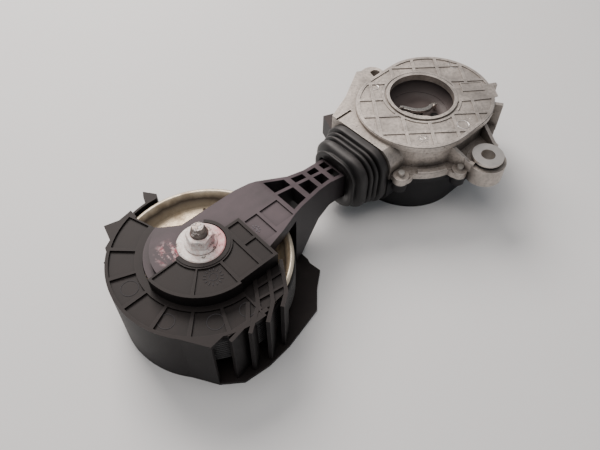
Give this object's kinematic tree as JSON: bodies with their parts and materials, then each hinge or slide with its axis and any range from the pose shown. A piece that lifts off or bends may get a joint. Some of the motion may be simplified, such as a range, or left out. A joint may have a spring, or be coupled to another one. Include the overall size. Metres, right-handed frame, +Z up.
{
  "type": "belt tensioner idler",
  "caption": "Friction idler wheel on a sliding guarded arm, moved through a rubber bellows by a motor-driven eccentric in a cast aluminium housing.",
  "frame": {"origin": "centre of the lower end of the front mounting sleeve", "axes": "+Z up the mounting sleeve and parallel to the wheel axle, +X along the arm from the wheel towards the drive housing"},
  "size_m": [0.2813, 0.1314, 0.066],
  "materials": {
    "cast_aluminium": "as cast, satin",
    "cover_plastic": "moulded, matt",
    "seal_rubber": "matt",
    "zinc_steel": "zinc plated",
    "sleeve_steel": "turned",
    "bellows_rubber": "satin",
    "magnet": "sintered",
    "carbon": "pressed",
    "bronze": "sintered",
    "ground_steel": "ground",
    "contact_tin": "tinned",
    "gear_plastic": "moulded",
    "dish_plastic": "moulded, smooth",
    "spring_steel": "rolled",
    "winding": "enamelled",
    "contact_copper": "turned",
    "arm_plastic": "glass filled, satin",
    "yoke_plastic": "moulded",
    "guard_plastic": "moulded, satin",
    "marked_steel": "paint mark over steel",
    "wheel_steel": "pressed, passivated",
    "tyre_rubber": "ground rubber",
    "cage_plastic": "moulded"
  },
  "bodies": {
    "housing": {"housing": "cast_aluminium", "bottom_cover": "cover_plastic", "cover_gasket": "seal_rubber", "cover_screws": "zinc_steel", "mounting_sleeve": "sleeve_steel", "sleeve_grommet": "seal_rubber", "bellows": "bellows_rubber", "bellows_retainer": "zinc_steel", "motor_can": "zinc_steel", "motor_end_cap": "cover_plastic", "motor_magnets": "magnet", "motor_brushes": "carbon", "worm_bearings": "bronze", "pivot_pin": "ground_steel", "connector_pins": "contact_tin", "guide_bush": "bronze", "window_shroud": "dish_plastic"},
    "eccentric": {"eccentric_gear": "gear_plastic", "gear_bush": "bronze", "crank_pin": "ground_steel", "crank_slider": "bronze", "eccentric_dish": "dish_plastic", "drive_clip": "spring_steel"},
    "worm": {"worm_shaft": "ground_steel", "armature": "winding", "commutator": "contact_copper"},
    "arm": {"arm": "arm_plastic", "guard_screws": "zinc_steel", "slide_rod": "ground_steel", "drive_yoke": "yoke_plastic", "spring_seat": "ground_steel", "pressure_spring": "spring_steel", "wheel_guard": "guard_plastic", "bearing_sleeve": "ground_steel", "axle_stud": "zinc_steel", "washer": "marked_steel", "flange_nut": "marked_steel", "bearing_inner_ring": "ground_steel"},
    "wheel": {"wheel_disc": "wheel_steel", "friction_tyre": "tyre_rubber", "bearing_outer_ring": "ground_steel", "bearing_seals": "seal_rubber"},
    "ball_cage": {"bearing_balls": "ground_steel", "bearing_cage": "cage_plastic"}
  },
  "joints": [
    {"name": "arm_slide", "type": "slide", "parent": "housing", "child": "arm", "axis": [1, 0, 0], "range_m": [-0.0035, 0.0035], "deforming": ["bellows"]},
    {"name": "eccentric_turn", "type": "hinge", "parent": "housing", "child": "eccentric", "pos_m": [0.003, 0.0565, -0.01], "axis": [0, 0, 1], "range_deg": [-30, 30]},
    {"name": "worm_spin", "type": "hinge", "parent": "housing", "child": "worm", "pos_m": [0.01, 0.041, -0.0105], "axis": [1, 0, 0], "range_deg": [-1000, 1000]},
    {"name": "wheel_spin", "type": "hinge", "parent": "arm", "child": "wheel", "pos_m": [-0.1695, 0.0598, 0], "axis": [0, 0, 1], "continuous": true},
    {"name": "cage_spin", "type": "hinge", "parent": "arm", "child": "ball_cage", "pos_m": [-0.1695, 0.0598, 0], "axis": [0, 0, 1], "continuous": true}
  ],
  "couplings": [
    {"joint": "eccentric_turn", "follows": "arm_slide", "rad_per_m": -129.37},
    {"joint": "worm_spin", "follows": "arm_slide", "rad_per_m": 4657.2},
    {"joint": "cage_spin", "follows": "wheel_spin", "ratio": 0.6096}
  ]
}
